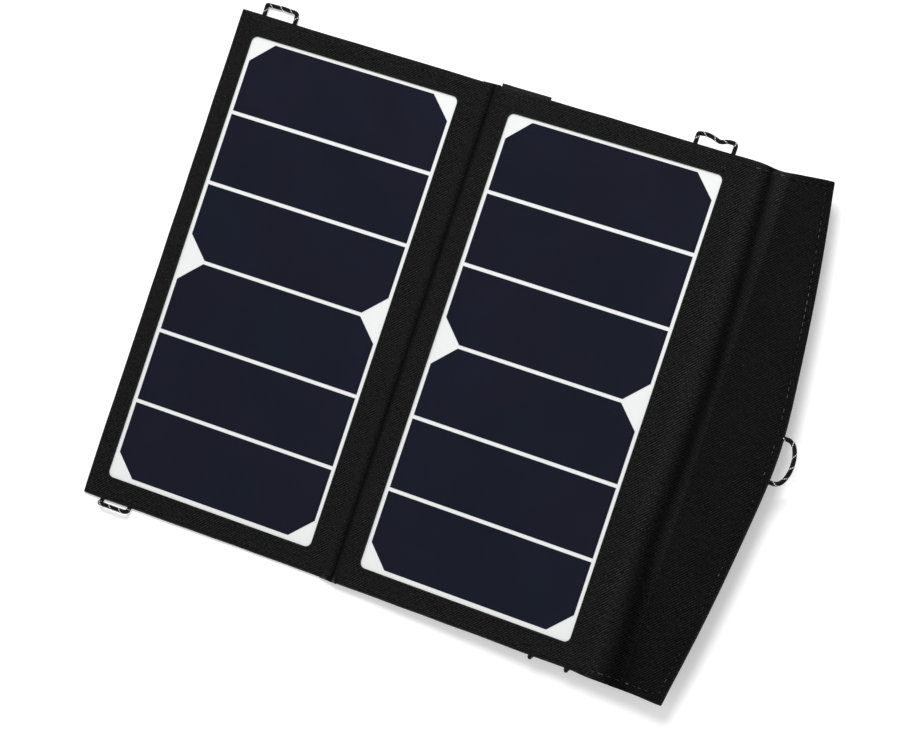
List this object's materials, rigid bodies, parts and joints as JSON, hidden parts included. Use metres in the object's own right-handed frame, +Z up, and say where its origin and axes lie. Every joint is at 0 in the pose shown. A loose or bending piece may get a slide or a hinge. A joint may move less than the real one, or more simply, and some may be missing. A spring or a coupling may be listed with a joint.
{
  "type": "solar phone charger",
  "caption": "Two-leaf folding solar charger in black fabric, with cell strips in white windows, an arched closing flap, cord loops and a zipped rear pocket.",
  "frame": {"origin": "middle of the left leaf's rear face, which lies flat on the table", "axes": "+X across the leaves towards the closing flap, +Y up the leaves along the fold line, +Z up from the table, out of the solar side"},
  "size_m": [0.3908, 0.3036, 0.0226],
  "materials": {
    "black_fabric": "woven polyester, matt black",
    "fold_fabric": "woven polyester, matt black, soft strip",
    "stiffener": "grey-brown board",
    "backsheet_white": "white laminate backsheet",
    "solar_cell": "dark navy monocrystalline silicon",
    "copper_tab": "tinned copper",
    "clear_film": "clear cover film",
    "ribbon_cable": "flat ribbon cable",
    "cord": "black braided cord with a light tracer",
    "magnet": "nickel plated",
    "keeper_steel": "zinc plated steel",
    "pocket_fabric": "woven polyester, matt black",
    "zip_tape": "woven zip tape",
    "zip_coil": "nylon coil",
    "zip_metal": "black coated zinc",
    "box_plastic": "textured black ABS",
    "screw_steel": "nickel plated steel",
    "adhesive_foam": "foam adhesive pad",
    "circuit_green": "green solder mask",
    "socket_steel": "tin plated steel",
    "socket_insulator": "white insulator",
    "contact_gold": "gold plated contact",
    "component_dark": "moulded component body",
    "capacitor_can": "aluminium can",
    "grommet_rubber": "rubber",
    "lamp_red": "tinted indicator",
    "light_pipe": "clear moulding"
  },
  "bodies": {
    "right_leaf": {"fold_front_fabric": "fold_fabric", "fold_rear_fabric": "fold_fabric", "fold_ribbon_cable": "ribbon_cable", "indicator_led": "lamp_red", "indicator_light_pipe": "light_pipe", "output_box_adhesive_pad": "adhesive_foam", "output_box_base": "box_plastic", "output_box_cover": "box_plastic", "output_box_screws": "screw_steel", "output_capacitors": "capacitor_can", "output_circuit_board": "circuit_green", "output_inductor": "component_dark", "pocket_skin": "pocket_fabric", "regulator_chips": "component_dark", "ribbon_grommet": "grommet_rubber", "right_backsheet": "backsheet_white", "right_cell_interconnects": "copper_tab", "right_clear_cover": "clear_film", "right_front_fabric": "black_fabric", "right_rear_fabric": "black_fabric", "right_ribbon_cable": "ribbon_cable", "right_solar_cells": "solar_cell", "right_stiffener_board": "stiffener", "spine_front_fabric": "fold_fabric", "spine_rear_fabric": "fold_fabric", "usb_port_contacts": "contact_gold", "usb_port_shells": "socket_steel", "usb_port_tongues": "socket_insulator", "zip_coil_leaf_side": "zip_coil", "zip_coil_pocket_side": "zip_coil", "zip_end_stops": "zip_metal", "zip_tape_leaf_side": "zip_tape", "zip_tape_pocket_side": "zip_tape"},
    "left_leaf": {"left_backsheet": "backsheet_white", "left_cell_interconnects": "copper_tab", "left_clear_cover": "clear_film", "left_front_fabric": "black_fabric", "left_keeper_plates": "keeper_steel", "left_rear_fabric": "black_fabric", "left_ribbon_cable": "ribbon_cable", "left_solar_cells": "solar_cell", "left_stiffener_board": "stiffener"},
    "cover_flap": {"flap_front_fabric": "black_fabric", "flap_magnets": "magnet", "flap_rear_fabric": "black_fabric", "flap_stiffener": "stiffener"},
    "left_top_loop": {"left_top_loop": "cord"},
    "left_bottom_loop": {"left_bottom_loop": "cord"},
    "right_top_loop": {"right_top_loop": "cord"},
    "right_bottom_loop": {"right_bottom_loop": "cord"},
    "flap_loop": {"flap_loop": "cord"},
    "zip_slider": {"zip_slider_body": "zip_metal"},
    "zip_pull": {"zip_pull_tab": "zip_metal"}
  },
  "joints": [
    {"name": "left_leaf_fold", "type": "hinge", "parent": "right_leaf", "child": "left_leaf", "pos_m": [0.0818, 0, 0.00567], "axis": [0, 1, 0], "range_deg": [-45, 176], "deforming": ["fold_front_fabric", "fold_rear_fabric", "fold_ribbon_cable"]},
    {"name": "cover_flap_fold", "type": "hinge", "parent": "right_leaf", "child": "cover_flap", "pos_m": [0.25183, 0, 0.02095], "axis": [0, -1, 0], "range_deg": [-45, 180], "deforming": ["spine_front_fabric", "spine_rear_fabric"]},
    {"name": "left_top_loop_swing", "type": "hinge", "parent": "left_leaf", "child": "left_top_loop", "pos_m": [-0.0526, 0.1474, 0.00165], "axis": [-1, 0, 0], "range_deg": [-76, 84]},
    {"name": "left_bottom_loop_swing", "type": "hinge", "parent": "left_leaf", "child": "left_bottom_loop", "pos_m": [-0.0545, -0.1474, 0.00165], "axis": [1, 0, 0], "range_deg": [-8, 152]},
    {"name": "right_top_loop_swing", "type": "hinge", "parent": "right_leaf", "child": "right_top_loop", "pos_m": [0.21716, 0.1474, 0.01506], "axis": [-0.9976, 0, -0.0698], "range_deg": [-80, 80]},
    {"name": "right_bottom_loop_swing", "type": "hinge", "parent": "right_leaf", "child": "right_bottom_loop", "pos_m": [0.21815, -0.1474, 0.01513], "axis": [0.9976, 0, 0.0698], "range_deg": [-150, 10]},
    {"name": "flap_loop_swing", "type": "hinge", "parent": "cover_flap", "child": "flap_loop", "pos_m": [0.30637, -0.0036, 0.02085], "axis": [0, 1, 0], "range_deg": [-80, 80]},
    {"name": "zip_slider_run", "type": "slide", "parent": "right_leaf", "child": "zip_slider", "axis": [0, 1, 0], "range_m": [0, 0.264]},
    {"name": "zip_pull_swing", "type": "hinge", "parent": "zip_slider", "child": "zip_pull", "pos_m": [0.10314, -0.132, 0.00133], "axis": [-0.9976, 0, -0.0698], "range_deg": [0, 180]}
  ]
}
